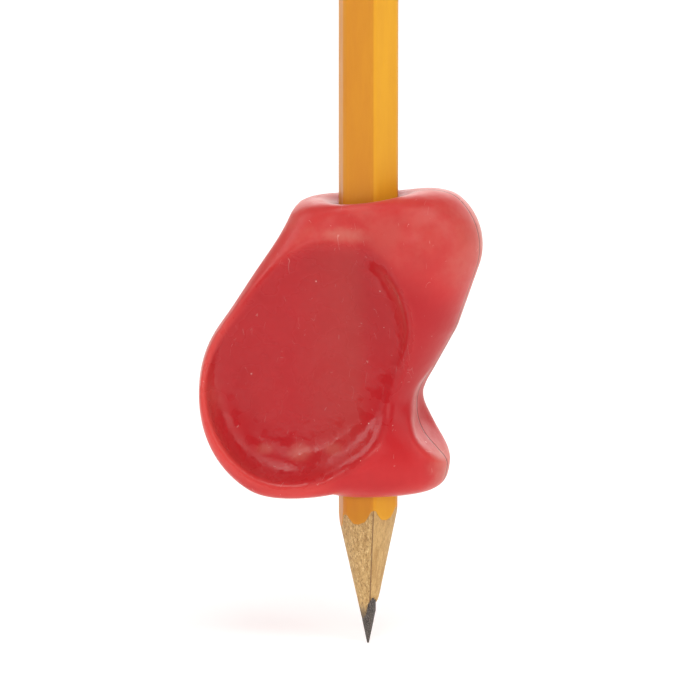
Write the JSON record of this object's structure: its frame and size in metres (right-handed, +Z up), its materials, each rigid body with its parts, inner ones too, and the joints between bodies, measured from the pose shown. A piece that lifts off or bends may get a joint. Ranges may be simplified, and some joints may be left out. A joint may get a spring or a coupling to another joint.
{
  "type": "pencil grip on a pencil",
  "caption": "Moulded soft training grip with two finger dishes, pushed on to a sharpened hexagonal pencil; it slides along the pencil and comes off over the eraser.",
  "frame": {"origin": "the pencil's writing point, on the pencil's axis", "axes": "+Z up along the pencil towards the eraser; the grip is the same on both sides of the XZ plane, with its ridge to +X, its middle-finger channel to -X and a finger dish on each of the -Y and +Y sides"},
  "size_m": [0.0339, 0.0276, 0.135],
  "materials": {
    "grip_plastic": "soft red plastic with a satin gloss",
    "pencil_wood": "raw cedar, cut by a sharpener",
    "graphite": "dark grey graphite, slightly shiny",
    "yellow_lacquer": "glossy yellow lacquer",
    "ferrule_metal": "rolled thin sheet, crimped",
    "eraser_rubber": "matt pink rubber"
  },
  "bodies": {
    "pencil": {"case_left_half": "pencil_wood", "case_right_half": "pencil_wood", "lead": "graphite", "lacquer": "yellow_lacquer", "ferrule": "ferrule_metal", "eraser": "eraser_rubber"},
    "grip": {"grip": "grip_plastic"}
  },
  "joints": [
    {"name": "grip_slide", "type": "slide", "parent": "pencil", "child": "grip", "axis": [0, 0, 1], "range_m": [-0.018, 0.118]}
  ]
}
